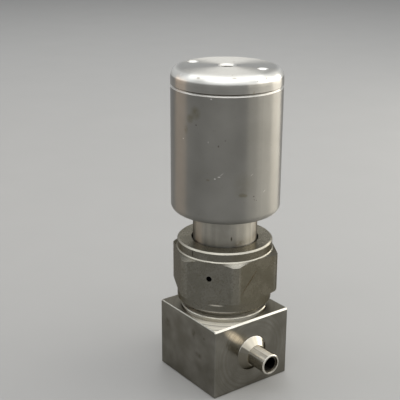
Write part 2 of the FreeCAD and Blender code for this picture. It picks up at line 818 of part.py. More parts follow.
def spigot_wall():
    """Radius of the cylinder's hole round the bonnet spigot."""
    return f"{half('spigot_diameter')} + Size.thread_clearance"


def make_bonnet_nut():
    """Hexagon nut with turned collars above and below, and a leak test hole in one flat."""
    body = new_body("bonnet_nut")
    body.setExpression("Placement.Rotation.Angle", "Size.nut_turn * 1 deg")
    hole = f"{half('bonnet_neck_diameter')} + Size.nut_hole_clearance"
    thread = f"{half('body_thread_diameter')} + Size.nut_thread_clearance"
    collar = half("nut_collar_diameter")
    corner = half("nut_corner_diameter")
    turned(body, "nut_blank", [
        (thread, "Level.nut_bottom"),
        (f"{collar} - Size.nut_bottom_edge", "Level.nut_bottom"),
        (collar, "Level.nut_bottom + Size.nut_bottom_edge"),
        (collar, "Level.hex_bottom"),
        (corner, "Level.hex_bottom + Size.hex_lower_chamfer"),
        (corner, "Level.hex_top - Size.hex_upper_chamfer"),
        (f"{collar} + Size.nut_root_bevel", "Level.hex_top"),
        (collar, "Level.hex_top + Size.nut_root_bevel"),
        (collar, "Level.nut_top - Size.nut_top_edge"),
        (f"{collar} - Size.nut_top_edge", "Level.nut_top"),
        (hole, "Level.nut_top"),
        (hole, "Level.flange_top"),
        (thread, "Level.flange_top"),
    ])
    flat = f"-{half('nut_flats')}"
    beyond = "Fit.nut_corner_diameter"
    cutter = [(f"-{beyond}", f"-{beyond}"), (beyond, f"-{beyond}"), (beyond, flat), (f"-{beyond}", flat)]
    sketch = outline(body, "flat_outline", cutter, "XY_Plane")
    one_flat = pocket(body, "one_flat", sketch, side="Symmetric")
    ring_of(body, "flats", one_flat, 6)
    leak_hole = [("0", "Level.leak_hole", half("leak_hole_diameter"))]
    sketch = circles(body, "leak_hole_outline", "XZ_Plane", leak_hole)
    pocket(body, "leak_hole", sketch, half("nut_corner_diameter"), flip=True)


# Actuator

def make_actuator_cylinder():
    """Cylinder with a stepped bore, a floor that screws on the bonnet, and a thread for the cap."""
    body = new_body("actuator_cylinder")
    wall = half("cylinder_diameter")
    lower = half("lower_bore_diameter")
    upper = half("upper_bore_diameter")
    thread = half("cap_thread_diameter")
    snap_floor = f"{upper} + Size.snap_groove_depth"
    thread_bottom = "Level.skirt_bottom - Size.cap_thread_runout"
    form = turned(body, "cylinder_form", [
        (spigot_wall(), "Level.cylinder_bottom"),
        (wall, "Level.cylinder_bottom"),
        (wall, "Level.cylinder_top - Size.cylinder_rim_bevel"),
        (f"{wall} - Size.cylinder_rim_bevel", "Level.cylinder_top"),
        (thread, "Level.cylinder_top"),
        (thread, thread_bottom),
        (upper, thread_bottom),
        (upper, "Level.snap_top + Size.snap_clearance"),
        (snap_floor, "Level.snap_top + Size.snap_clearance"),
        (snap_floor, "Level.divider_top"),
        (upper, "Level.divider_top"),
        (upper, "Level.divider_bottom"),
        (lower, "Level.divider_bottom"),
        (lower, "Level.floor_top"),
        (spigot_wall(), "Level.floor_top"),
    ])
    rounded(body, "rounded_foot", form, wall, "Level.cylinder_bottom", "Size.cylinder_base_fillet")
    vents = [("0", level, half("vent_diameter")) for level in ("Level.lower_vent", "Level.upper_vent")]
    sketch = circles(body, "vent_outline", "XZ_Plane", vents)
    pocket(body, "vents", sketch, wall)


def make_actuator_cap():
    """Cap with a rounded top edge, an air port, two spanner holes, a screwed skirt and a rod hub."""
    body = new_body("actuator_cap")
    wall = half("cylinder_diameter")
    skirt = half("skirt_diameter")
    skirt_inner = half("skirt_inner_diameter")
    port = half("port_diameter")
    rod_bore = f"{half('rod_tip_diameter')} + Size.rod_running_clearance"
    skirt_floor = outward_seal(half("cap_thread_diameter"), "Size.cap_seal_section")[1]
    hub_floor = inward_seal(half("rod_tip_diameter"), "Size.rod_seal_section")[1]
    form = turned(body, "cap_form", [
        (f"{port} + Size.port_countersink", "Level.cap_top"),
        (wall, "Level.cap_top"),
        (wall, "Level.cylinder_top + Size.cap_rim_bevel"),
        (f"{wall} - Size.cap_rim_bevel", "Level.cylinder_top"),
        (skirt, "Level.cylinder_top"),
        *groove_corners(skirt, skirt_floor, "Size.cap_seal_section", "Level.cap_seal", True),
        (skirt, "Level.skirt_bottom"),
        (skirt_inner, "Level.skirt_bottom"),
        (skirt_inner, "Level.spring_top"),
        (half("hub_diameter"), "Level.spring_top"),
        (half("hub_diameter"), "Level.hub_bottom"),
        (rod_bore, "Level.hub_bottom"),
        *groove_corners(rod_bore, hub_floor, "Size.rod_seal_section", "Level.rod_top_seal", False),
        (rod_bore, "Level.rod_bore_top"),
        (port, "Level.rod_bore_top"),
        (port, "Level.cap_top - Size.port_countersink"),
    ])
    rounded(body, "rounded_top", form, wall, "Level.cap_top", "Size.cap_fillet")

    body.setExpression("Placement.Rotation.Angle", "Size.spanner_turn * 1 deg")
    pin = half("spanner_hole_diameter")
    sketch = outline(body, "spanner_hole_outline", [
        ("0", "Level.cap_top"),
        (f"{pin} + Size.spanner_countersink", "Level.cap_top"),
        (pin, "Level.cap_top - Size.spanner_countersink"),
        (pin, "Level.cap_top - Size.spanner_hole_depth"),
        ("0", "Level.cap_top - Size.spanner_hole_depth"),
    ])
    sketch.setExpression("AttachmentOffset.Base.x", half("spanner_circle"))
    hole = revolve(body, "spanner_hole", sketch, "PartDesign::Groove")
    ring_of(body, "spanner_holes", hole, 2)


def make_piston(label, bottom, top, middle, bore_name, rod_name):
    """Piston with a groove for a ring against the cylinder and one for a ring round the rod."""
    body = new_body(label)
    rim = f"{half(bore_name)} - Size.piston_clearance"
    hole = f"{half(rod_name)} + Size.rod_piston_clearance"
    rim_floor = outward_seal(half(bore_name), "Size.piston_seal_section")[1]
    hole_floor = inward_seal(half(rod_name), "Size.rod_seal_section")[1]
    turned(body, f"{label}_form", [
        (hole, bottom),
        (f"{rim} - Size.piston_edge", bottom),
        (rim, f"{bottom} + Size.piston_edge"),
        *groove_corners(rim, rim_floor, "Size.piston_seal_section", middle, False),
        (rim, f"{top} - Size.piston_edge"),
        (f"{rim} - Size.piston_edge", top),
        (hole, top),
        *groove_corners(hole, hole_floor, "Size.rod_seal_section", middle, True),
    ])


def make_divider_plate():
    """Fixed plate between the two air chambers, on a step of the bore."""
    body = new_body("divider_plate")
    rim = f"{half('upper_bore_diameter')} - Size.divider_clearance"
    hole = f"{half('rod_middle_diameter')} + Size.rod_running_clearance"
    rim_floor = outward_seal(half("upper_bore_diameter"), "Size.piston_seal_section")[1]
    hole_floor = inward_seal(half("rod_middle_diameter"), "Size.rod_seal_section")[1]
    turned(body, "divider_form", [
        (hole, "Level.divider_bottom"),
        (rim, "Level.divider_bottom"),
        *groove_corners(rim, rim_floor, "Size.piston_seal_section", "Level.divider_seal", False),
        (rim, "Level.divider_top"),
        (hole, "Level.divider_top"),
        *groove_corners(hole, hole_floor, "Size.rod_seal_section", "Level.divider_seal", True),
    ])


def make_divider_snap_ring():
    """Open ring with two eyed lugs, in a groove of the bore, that holds the divider plate down."""
    body = new_body("divider_snap_ring")
    outer = f"{half('upper_bore_diameter')} + Size.snap_groove_depth - Size.snap_clearance"
    inner = f"{outer} - Size.snap_width"
    turned(body, "snap_ring_form", [
        (inner, "Level.divider_top"), (outer, "Level.divider_top"),
        (outer, "Level.snap_top"), (inner, "Level.snap_top"),
    ], angle="360 - Size.snap_opening")
    lug_radius = f"({inner} - Size.snap_lug_inset)"
    lug_turn = "(Size.snap_opening / 2 + Size.snap_lug_turn)"
    place = (f"-{lug_radius} * cos({lug_turn})", f"{lug_radius} * sin({lug_turn})")
    lug = body.newObject("PartDesign::Pad", "lug")
    disc = [(*place, half("snap_lug_diameter"))]
    lug.Profile = circles(body, "lug_outline", "XY_Plane", disc, "Level.divider_top")
    lug.setExpression("Length", "Size.snap_thickness")
    finish(body, lug, False)
    mirrored(body, "other_lug", lug, "XZ_Plane", False)
    eye_disc = [(*place, half("snap_eye_diameter"))]
    eye = pocket(body, "eye", circles(body, "eye_outline", "XY_Plane", eye_disc, "Level.snap_top"))
    mirrored(body, "other_eye", eye, "XZ_Plane", True)


def clip_groove_top(bottom):
    """Top of a rod groove, just above its clip."""
    return f"{bottom} + Size.clip_thickness + Size.clip_clearance"


def make_rod_clip(label, rod_name, bottom):
    """Open clip in a groove of the rod, on top of a piston."""
    body = new_body(label)
    inner = f"{half(rod_name)} - Size.clip_groove_depth + Size.clip_clearance"
    outer = f"{inner} + Size.clip_width"
    top = f"{bottom} + Size.clip_thickness"
    corners = [(inner, bottom), (outer, bottom), (outer, top), (inner, top)]
    turned(body, f"{label}_form", corners, angle="360 - Size.clip_opening")


def make_piston_rod():
    """Stepped rod with an air passage down its middle and cross holes into both chambers."""
    body = new_body("piston_rod")
    foot = half("rod_foot_diameter")
    middle = half("rod_middle_diameter")
    tip = half("rod_tip_diameter")
    thread = f"{half('stem_thread_diameter')} + Size.thread_clearance"
    thread_top = "Level.rod_bottom + Size.stem_top_thread_length + Size.rod_thread_spare"
    passage = half("rod_air_passage")
    passage_bottom = f"Level.lower_cross_hole - {half('cross_hole_diameter')}"
    lower_clip = "Level.lower_piston_top"
    upper_clip = "Level.upper_piston_top"
    turned(body, "rod_form", [
        ("0", thread_top),
        (thread, thread_top),
        (thread, "Level.rod_bottom"),
        (foot, "Level.rod_bottom"),
        (foot, "Level.lower_piston_bottom"),
        (middle, "Level.lower_piston_bottom"),
        (middle, lower_clip),
        (f"{middle} - Size.clip_groove_depth", lower_clip),
        (f"{middle} - Size.clip_groove_depth", clip_groove_top(lower_clip)),
        (middle, clip_groove_top(lower_clip)),
        (middle, "Level.upper_piston_bottom"),
        (tip, "Level.upper_piston_bottom"),
        (tip, upper_clip),
        (f"{tip} - Size.clip_groove_depth", upper_clip),
        (f"{tip} - Size.clip_groove_depth", clip_groove_top(upper_clip)),
        (tip, clip_groove_top(upper_clip)),
        (tip, "Level.rod_top"),
        (passage, "Level.rod_top"),
        (passage, passage_bottom),
        ("0", passage_bottom),
    ])
    levels = ("Level.lower_cross_hole", "Level.upper_cross_hole")
    holes = [("0", level, half("cross_hole_diameter")) for level in levels]
    sketch = circles(body, "cross_hole_outline", "XZ_Plane", holes)
    pocket(body, "cross_holes", sketch, side="Symmetric")


def make_spring(label, sizes):
    """Coil spring between the upper piston and the cap, with a flat turn at each end.

    The coil is a run of short straight lengths of eight-sided wire, mitred where they meet.
    """
    wire_radius = value(half(f"{sizes}_wire"))
    coil_radius = value(half(f"{sizes}_mean_diameter"))
    first_height = value("Level.upper_piston_top") + wire_radius
    last_height = value("Level.spring_top") - wire_radius
    turns = value(f"Size.{sizes}_turns")
    lengths = round(turns * value("Size.spring_lengths_per_turn"))
    flat_share = value("Size.spring_flat_turn") / turns
    points = []
    for i in range(lengths + 1):
        share = i / lengths
        rise = min(1.0, max(0.0, (share - flat_share) / (1.0 - 2.0 * flat_share)))
        turn = FreeCAD.Rotation(FreeCAD.Vector(0, 0, 1), 360.0 * turns * share)
        point = turn.multVec(FreeCAD.Vector(coil_radius, 0, 0))
        point.z = first_height + rise * (last_height - first_height)
        points.append(point)
    start = points[0]
    direction = points[1] - start
    sides = int(value("Size.spring_wire_sides"))
    across = FreeCAD.Vector(0, 0, wire_radius)
    section = []
    for i in range(sides + 1):
        spoke = FreeCAD.Rotation(direction, 360.0 * (i % sides + 0.5) / sides)
        section.append(start + spoke.multVec(across))
    shape = Part.makePolygon(points).makePipeShell([Part.makePolygon(section)], True, False, 1)
    spring = doc.addObject("Part::Feature", label)
    spring.Label = label
    spring.Shape = shape
    subparts.append(spring)


def make_seal_rings():
    """The round seals of the cap, rod, pistons, divider and bonnet."""
    upper_bore = half("upper_bore_diameter")
    lower_bore = half("lower_bore_diameter")
    foot = half("rod_foot_diameter")
    middle = half("rod_middle_diameter")
    tip = half("rod_tip_diameter")
    rows = [
        ("cap_seal", outward_seal, half("cap_thread_diameter"), "cap_seal_section", "cap_seal"),
        ("rod_top_seal", inward_seal, tip, "rod_seal_section", "rod_top_seal"),
        ("upper_piston_seal", outward_seal, upper_bore, "piston_seal_section", "upper_piston_seal"),
        ("upper_piston_rod_seal", inward_seal, tip, "rod_seal_section", "upper_piston_seal"),
        ("divider_rim_seal", outward_seal, upper_bore, "piston_seal_section", "divider_seal"),
        ("divider_rod_seal", inward_seal, middle, "rod_seal_section", "divider_seal"),
        ("lower_piston_seal", outward_seal, lower_bore, "piston_seal_section", "lower_piston_seal"),
        ("lower_piston_rod_seal", inward_seal, middle, "rod_seal_section", "lower_piston_seal"),
        ("rod_foot_seal", inward_seal, foot, "rod_seal_section", "rod_foot_seal"),
        ("bonnet_seal", outward_seal, spigot_wall(), "static_seal_section", "spigot_seal"),
    ]
    for label, kind, radius, section, level in rows:
        seal_ring(label, kind(radius, f"Size.{section}")[0], f"Size.{section}", f"Level.{level}")


def make_pistons():
    """Both pistons with the clips that hold them on the rod."""
    make_piston("lower_piston", "Level.lower_piston_bottom", "Level.lower_piston_top",
                "Level.lower_piston_seal", "lower_bore_diameter", "rod_middle_diameter")
    make_piston("upper_piston", "Level.upper_piston_bottom", "Level.upper_piston_top",
                "Level.upper_piston_seal", "upper_bore_diameter", "rod_tip_diameter")
    make_rod_clip("lower_piston_clip", "rod_middle_diameter", "Level.lower_piston_top")
    make_rod_clip("upper_piston_clip", "rod_tip_diameter", "Level.upper_piston_top")


def check_and_write():
    """Stop on any failed object or bad shape, then write one file for each piece."""
    doc.recompute()
    for item in doc.Objects:
        if "Invalid" in item.State or "Error" in item.State:
            raise RuntimeError(f"{item.Name} is {item.State}")
    for piece in subparts:
        shape = piece.Shape
        if shape.isNull() or not shape.isValid() or not shape.Solids:
            raise RuntimeError(f"{piece.Label} has no valid solid")
    os.makedirs("parts", exist_ok=True)
    for piece in subparts:
        piece.Shape.exportStep(f"parts/{piece.Label}.step")
        box = piece.Shape.BoundBox
        print(f"{piece.Label:24s} {len(piece.Shape.Solids)} solid, {piece.Shape.Volume:9.1f} mm3, "
              f"z {box.ZMin:6.2f} to {box.ZMax:6.2f}")


make_valve_body()
make_bellows_gasket()
make_bellows_weld_ring()
make_bellows()
make_stem_head()
make_stem_tip()
make_valve_stem()
make_stem_guide_bush()
make_bonnet()
make_bonnet_nut()
make_actuator_cylinder()
make_actuator_cap()
make_pistons()
make_divider_plate()
make_divider_snap_ring()
make_piston_rod()
make_spring("outer_return_spring", "outer_spring")
make_spring("inner_return_spring", "inner_spring")
make_seal_rings()
check_and_write()
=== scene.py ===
import math

import bmesh
import bpy
from mathutils import Matrix, Vector


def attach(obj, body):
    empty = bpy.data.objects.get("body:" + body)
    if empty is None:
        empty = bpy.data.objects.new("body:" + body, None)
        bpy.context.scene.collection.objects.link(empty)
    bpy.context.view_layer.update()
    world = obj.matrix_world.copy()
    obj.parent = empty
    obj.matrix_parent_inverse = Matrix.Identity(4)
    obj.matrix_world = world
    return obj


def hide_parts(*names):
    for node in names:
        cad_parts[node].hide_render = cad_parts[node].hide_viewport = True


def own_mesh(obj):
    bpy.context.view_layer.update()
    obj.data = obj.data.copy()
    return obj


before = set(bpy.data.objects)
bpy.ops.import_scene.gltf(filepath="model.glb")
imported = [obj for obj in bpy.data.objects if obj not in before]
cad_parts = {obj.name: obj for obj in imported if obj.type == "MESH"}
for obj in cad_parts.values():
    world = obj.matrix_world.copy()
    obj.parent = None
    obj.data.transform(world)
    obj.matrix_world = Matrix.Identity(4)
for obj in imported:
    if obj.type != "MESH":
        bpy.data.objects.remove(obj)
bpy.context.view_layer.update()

# The valve block is sawn from square stainless bar and milled flat. Its two side faces with the
# tube stubs are faced on a lathe, which leaves rings round each stub, and so is the top round the
# threaded neck. It is left bare and blotched by handling. Its upward-facing edges, partly worn, the
# tubes' rims and upper sides, the cones, a streak on the right face and the top's corners carry
# painted highlights, and the top's middle and the ports carry painted shade.
mm = 0.001


class Tone:
    """One socket among a finish's nodes. Sums on tones read as sums and add their Math nodes."""

    def __init__(self, finish, socket):
        self.finish = finish
        self.socket = socket

    def __add__(self, other):
        return self.finish.math("ADD", self, other)

    def __sub__(self, other):
        return self.finish.math("SUBTRACT", self, other)

    def __rsub__(self, other):
        return self.finish.math("SUBTRACT", other, self)

    def __mul__(self, other):
        return self.finish.math("MULTIPLY", self, other)

    def __truediv__(self, other):
        return self.finish.math("DIVIDE", self, other)

    def __pow__(self, other):
        return self.finish.math("POWER", self, other)

    def __abs__(self):
        return self.finish.math("ABSOLUTE", self)

    def __gt__(self, other):
        return self.finish.math("GREATER_THAN", self, other)

    __radd__ = __add__
    __rmul__ = __mul__


class Finish:
    """The surface of one kind of piece: a Principled shader and the nodes that feed it."""

    def __init__(self, name):
        self.material = bpy.data.materials.new(name)
        self.material.use_nodes = True
        self.tree = self.material.node_tree
        self.shader = self.tree.nodes["Principled BSDF"]
        self.here = self.add("TexCoord", out="Object")
        self.x, self.y, self.z = self.split(self.here)
        self.facing = self.split(self.add("TexCoord", out="Normal"))

    def add(self, kind, settings=None, sockets=None, out=0):
        """A node of a kind: its settings first, then the values or links of its sockets."""
        node = self.tree.nodes.new(f"ShaderNode{kind}")
        for key, setting in (settings or {}).items():
            setattr(node, key, setting)
        self.feed(node, sockets or {})
        return Tone(self, node.outputs[out])

    def feed(self, node, sockets):
        for key, content in sockets.items():
            if isinstance(content, Tone):
                self.tree.links.new(content.socket, node.inputs[key])
            else:
                node.inputs[key].default_value = content

    def math(self, operation, *terms):
        return self.add("Math", {"operation": operation}, dict(enumerate(terms)))

    def split(self, vector):
        first = self.add("SeparateXYZ", sockets={0: vector})
        outputs = first.socket.node.outputs
        return [Tone(self, outputs[i]) for i in range(3)]

    def stretched(self, scale):
        """The place on the piece, scaled differently along each direction."""
        return self.add("VectorMath", {"operation": "MULTIPLY"}, {0: self.here, 1: scale})

    def noise(self, scale, detail=3.0, where=None):
        """Even noise of a scale in features per metre, or on a stretched place at scale 1."""
        sockets = {"Vector": where or self.here, "Scale": scale, "Detail": detail}
        return self.add("TexNoise", sockets=sockets)

    def rings(self, a, b, pitch):
        """Uneven rings round a centre, as a lathe tool leaves, from the two distances to it."""
        radius = (a * a + b * b) ** 0.5
        sockets = {"W": radius / pitch, "Scale": 1.0, "Detail": 2.0}
        return self.add("TexNoise", {"noise_dimensions": "1D"}, sockets)

    def between(self, tone, low, high):
        """How far a tone has come from low to high, from 0 to 1."""
        sockets = {"Value": tone, "From Min": low, "From Max": high}
        return self.add("MapRange", {"clamp": True}, sockets)

    def mark(self, middle, size, turn=(0.0, 0.0, 0.0)):
        """One nick or stain: 1 at its middle, falling to 0 at the ends of its size."""
        sockets = {"Vector": self.here, "Location": middle, "Rotation": turn, "Scale": size}
        local = self.add("Mapping", {"vector_type": "TEXTURE"}, sockets)
        away = self.add("VectorMath", {"operation": "LENGTH"}, {0: local}, out="Value")
        return self.between(away, 1.0, 0.35)

    def sloping(self):
        """1 on bevels and rounded rims that face upward, 0 on upright walls and on flat tops."""
        up = self.facing[2]
        return self.between(up, 0.20, 0.34) * self.between(up, 0.985, 0.94)

    def blend(self, share, first, second):
        """A colour from first to second by a share."""
        settings = {"data_type": "RGBA"}
        return self.add("Mix", settings, {0: share, 6: first, 7: second}, out=2)

    def close(self, colour, roughness, height=None, depth=0.0, **constants):
        """Feed the shader: what changes over the surface by links, the rest as plain values."""
        self.feed(self.shader, {"Base Color": colour, "Roughness": roughness})
        if height is not None:
            sockets = {"Height": height, "Distance": depth, "Strength": 1.0}
            self.feed(self.shader, {"Normal": self.add("Bump", sockets=sockets)})
        for key, content in constants.items():
            self.shader.inputs[key.replace("_", " ")].default_value = content
        return self.material


def dress(material, *nodes):
    """Give solids of the part a finish."""
    for node in nodes:
        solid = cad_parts[node]
        solid.data.materials.clear()
        solid.data.materials.append(material)


def spots(finish, places):
    """All the marks of one kind as one tone: places and sizes in millimetres, turns in radians."""
    total = 0.0
    for middle, size, *turn in places:
        scaled = [tuple(number * mm for number in group) for group in (middle, size)]
        total = finish.mark(*scaled, *turn) + total
    return total


port_height = 11.2 * mm
block_top = 22.4 * mm
cone_base = 14.3 * mm
tube_base = 16.2 * mm
tube_end = 23.0 * mm
step = 0.05 * mm
steel = Finish("faced_stainless_block")
on_side = abs(steel.facing[0]) > 0.95
on_top = steel.facing[2] > 0.95
elsewhere = 1.0 - on_side - on_top
round_stub = steel.rings(steel.y, steel.z - port_height, 0.75 * mm)
round_stem = steel.rings(steel.x, steel.y, 0.70 * mm)
milled = steel.noise(1.0, 3.0, steel.stretched((400.0, 400.0, 5200.0)))
cut = 1.6 * round_stub * on_side + 10.0 * round_stem * on_top + milled * elsewhere
blotch = steel.between(steel.noise(170.0, 4.0), 0.38, 0.66)
grain = steel.noise(6500.0, 2.0)
stub = steel.between(abs(steel.x), cone_base, cone_base + step)
tube = steel.between(abs(steel.x), tube_base, tube_base + 2.0 * step)
tube_rim = steel.between(abs(steel.x), tube_end - step, tube_end)
port_side = steel.between(abs(steel.facing[0]), 0.25, 0.35)
boss = steel.between(steel.z, block_top + step, block_top + 2.0 * step) * (1.0 - stub)
outer_edge = steel.sloping() * (1.0 - stub) * (1.0 - boss)
# Painted highlights: upward-facing bevels on the port sides and the tubes' rims are lightened. On the
# other sides the upward-facing bevels are lightened in patches, partly wear and partly painted
# highlight.
painted_edge_highlight = 1.0 - (1.0 - outer_edge * port_side) * (1.0 - tube_rim)
edge_wear_and_highlight = outer_edge * (1.0 - port_side) * steel.between(grain, 0.35, 0.60)
crest = steel.between(round_stem, 0.34, 0.56) * on_top
# Painted highlight: the top's corners, where the turned rings are painted pale.
painted_corner_highlight = steel.between(abs(steel.x - steel.y), 11.0 * mm, 19.0 * mm)
# Painted highlight: a pale, less metallic streak rising from the stub on the right face stands in for a
# reflection.
highlight_streak_place = spots(steel, [((14.2, -7.0, 18.7), (1.0, 6.0, 1.7), (-0.72, 0.0, 0.0))])
fine_rings = steel.rings(steel.y, steel.z - port_height, 0.30 * mm)
painted_streak_highlight = highlight_streak_place * (0.45 + 0.55 * steel.between(fine_rings, 0.34, 0.62))
smudges = spots(steel, [
    ((3.3, -14.2, 17.7), (1.3, 0.5, 2.0)),
    ((8.7, -14.2, 18.0), (0.7, 0.5, 0.5)),
    ((5.7, -14.2, 11.2), (2.4, 0.5, 1.2)),
    ((-10.4, -14.2, 16.1), (2.2, 0.5, 2.4)),
])
smudges = smudges * steel.between(steel.noise(1100.0, 4.0), 0.30, 0.60)
steel_colour = steel.blend(blotch, (0.195, 0.186, 0.160, 1.0), (0.260, 0.252, 0.226, 1.0))
steel_colour = steel.blend(
    0.55 * steel.between(round_stub, 0.35, 0.65) * on_side, steel_colour, (0.180, 0.168, 0.138, 1.0))
steel_colour = steel.blend(0.65 * smudges, steel_colour, (0.110, 0.098, 0.076, 1.0))
# Painted highlight: pale ring crests towards the top's corners.
steel_colour = steel.blend(
    0.15 + 0.85 * painted_corner_highlight, steel_colour, steel.blend(
        on_top * (0.30 + 0.70 * crest), steel_colour, (0.90, 0.87, 0.77, 1.0)))
# Painted shade: the top face away from the corners and the boss is darkened.
steel_colour = steel.blend(
    0.65 * on_top * (1.0 - painted_corner_highlight) * (1.0 - boss), steel_colour, (0.085, 0.080, 0.064, 1.0))
# Painted highlight: the boss edge is lightened, most towards the corners.
steel_colour = steel.blend(
    boss * (0.25 + 0.55 * painted_corner_highlight), steel_colour, (0.52, 0.50, 0.435, 1.0))
cone = stub * (1.0 - tube)
# Painted highlights: a pale, less metallic band along each tube's upper side and a pale crown on each
# cone stand in for reflections.
round_port = steel.math("ARCTAN2", steel.facing[2], -1.0 * steel.facing[1]) - 0.20 * cone
highlight_start = steel.between(round_port, math.radians(26.0), math.radians(31.0))
highlight_spread = steel.between(round_port, math.radians(38.0), math.radians(64.0))
highlight_end = steel.between(round_port, math.radians(100.0), math.radians(42.0))
painted_tube_highlight = tube * highlight_start * highlight_end * (0.75 + 0.25 * milled)
cone_highlight_end = steel.between(round_port, math.radians(150.0), math.radians(110.0))
painted_cone_highlight = cone * highlight_start * cone_highlight_end
from_port = (steel.y * steel.y + (steel.z - port_height) ** 2.0) ** 0.5
# Painted shade: the shoulder inside each port is darkened and its bore is made nearly black.
painted_bore_shade = stub * steel.between(from_port, 2.20 * mm, 2.10 * mm)
painted_shoulder_shade = stub * steel.between(from_port, 2.72 * mm, 2.66 * mm)
painted_shoulder_shade = painted_shoulder_shade * steel.between(abs(steel.x), tube_end - 4.0 * step, tube_end - 6.0 * step)
steel_colour = steel.blend(0.85 * stub, steel_colour, (0.215, 0.198, 0.158, 1.0))
steel_colour = steel.blend(0.75 * tube, steel_colour, (0.60, 0.56, 0.475, 1.0))
steel_colour = steel.blend(0.85 * painted_cone_highlight, steel_colour, (0.78, 0.735, 0.625, 1.0))
steel_colour = steel.blend(0.90 * painted_tube_highlight, steel_colour, (0.95, 0.925, 0.85, 1.0))
steel_colour = steel.blend(0.9 * painted_shoulder_shade, steel_colour, (0.06, 0.054, 0.044, 1.0))
steel_colour = steel.blend(painted_bore_shade, steel_colour, (0.012, 0.011, 0.010, 1.0))
steel_colour = steel.blend(0.9 * painted_streak_highlight, steel_colour, (0.82, 0.70, 0.52, 1.0))
steel_colour = steel.blend(0.9 * painted_edge_highlight, steel_colour, (0.66, 0.64, 0.58, 1.0))
steel_colour = steel.blend(0.6 * edge_wear_and_highlight, steel_colour, (0.60, 0.58, 0.52, 1.0))
steel_roughness = 0.14 + 0.08 * blotch + 0.05 * grain + 0.26 * on_top
steel_roughness = steel_roughness + 0.10 * painted_edge_highlight - 0.03 * stub
scatter = on_top * painted_corner_highlight * (0.48 + 0.50 * crest) + 0.30 * boss * painted_corner_highlight * (1.0 - on_top)
scatter = scatter + 0.70 * painted_streak_highlight + painted_tube_highlight * (0.20 + 0.65 * highlight_spread) + 0.62 * painted_cone_highlight
block_finish = steel.close(
    steel_colour, steel_roughness, cut + 0.3 * grain, 0.004 * mm,
    Anisotropic=0.75, Anisotropic_Rotation=0.25, Specular_Tint=(0.42, 0.40, 0.36, 1.0))
steel.feed(steel.shader, {"Metallic": 1.0 - scatter})
dress(block_finish, "valve_body")

# Inside the block: the bellows set. The bellows is thin stainless tube, formed into waves by
# pressure and welded at its cuffs to the weld ring above and to the stem head below.
turned = Finish("turned_stainless")
turned_lines = turned.noise(1.0, 3.0, turned.stretched((300.0, 300.0, 7000.0)))
turned_colour = turned.blend(turned_lines, (0.52, 0.51, 0.48, 1.0), (0.64, 0.63, 0.60, 1.0))
turned_finish = turned.close(
    turned_colour, 0.20 + 0.12 * turned_lines, turned_lines, 0.003 * mm,
    Metallic=1.0, Anisotropic=0.5, Anisotropic_Rotation=0.25)
dress(turned_finish, "bellows_weld_ring", "stem_head", "valve_stem", "piston_rod")

soft_ring = Finish("soft_gasket_metal")
ring_wear = soft_ring.noise(900.0, 3.0)
gasket_finish = soft_ring.close(
    soft_ring.blend(ring_wear, (0.42, 0.41, 0.39, 1.0), (0.55, 0.54, 0.52, 1.0)),
    0.34 + 0.12 * ring_wear, Metallic=1.0)
dress(gasket_finish, "bellows_gasket")

bellows_inner_radius = 4.8 * mm
bellows_outer_radius = 7.0 * mm
bellows_wall = 0.2 * mm
bellows_pitch = 1.6 * mm
bellows_waves = 8
bellows_bottom = 20.8 * mm
bellows_top = 36.2 * mm
bellows_cuff = 1.3 * mm


def finished(name, bm, material, body):
    """Turn a shaped mesh into a piece that rides on a body of the part."""
    bmesh.ops.remove_doubles(bm, verts=bm.verts, dist=0.0005 * mm)
    bmesh.ops.recalc_face_normals(bm, faces=bm.faces)
    mesh = bpy.data.meshes.new(name)
    bm.to_mesh(mesh)
    bm.free()
    mesh.shade_smooth()
    mesh.set_sharp_from_angle(angle=math.radians(40.0))
    mesh.materials.append(material)
    piece = bpy.data.objects.new(name, mesh)
    bpy.context.scene.collection.objects.link(piece)
    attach(piece, body)
    return piece


def lathe(bm, outline, steps):
    """Spin a closed outline, given as pairs of radius and height, once about the stem axis."""
    corners = [bm.verts.new((radius, 0.0, height)) for radius, height in outline]
    edges = [bm.edges.new((corners[i - 1], corners[i])) for i in range(len(corners))]
    bmesh.ops.spin(
        bm, geom=corners + edges, cent=(0.0, 0.0, 0.0), axis=(0.0, 0.0, 1.0),
        angle=2.0 * math.pi, steps=steps, use_merge=True)


def bend(middle_radius, middle_height, radius, first, last, steps=6):
    """Points along one bend of the wall, from one angle to another in degrees."""
    points = []
    for i in range(steps + 1):
        angle = math.radians(first + (last - first) * i / steps)
        points.append((middle_radius + radius * math.cos(angle),
                       middle_height + radius * math.sin(angle)))
    return points


wide = bellows_pitch / 4 + bellows_wall / 2
tight = bellows_pitch / 4 - bellows_wall / 2
trough_radius = bellows_inner_radius + wide
crest_radius = bellows_outer_radius - wide
stem_side = [(bellows_inner_radius, bellows_bottom)]
far_side = [(bellows_inner_radius + bellows_wall, bellows_bottom)]
for wave in range(bellows_waves):
    low = bellows_bottom + bellows_cuff + wave * bellows_pitch
    middle = low + bellows_pitch / 2
    high = low + bellows_pitch
    stem_side += bend(trough_radius, low, wide, 180, 90) + bend(crest_radius, middle, tight, -90, 90)
    stem_side += bend(trough_radius, high, wide, 270, 180)
    far_side += bend(trough_radius, low, tight, 180, 90) + bend(crest_radius, middle, wide, -90, 90)
    far_side += bend(trough_radius, high, tight, 270, 180)
stem_side.append((bellows_inner_radius, bellows_top))
far_side.append((bellows_inner_radius + bellows_wall, bellows_top))

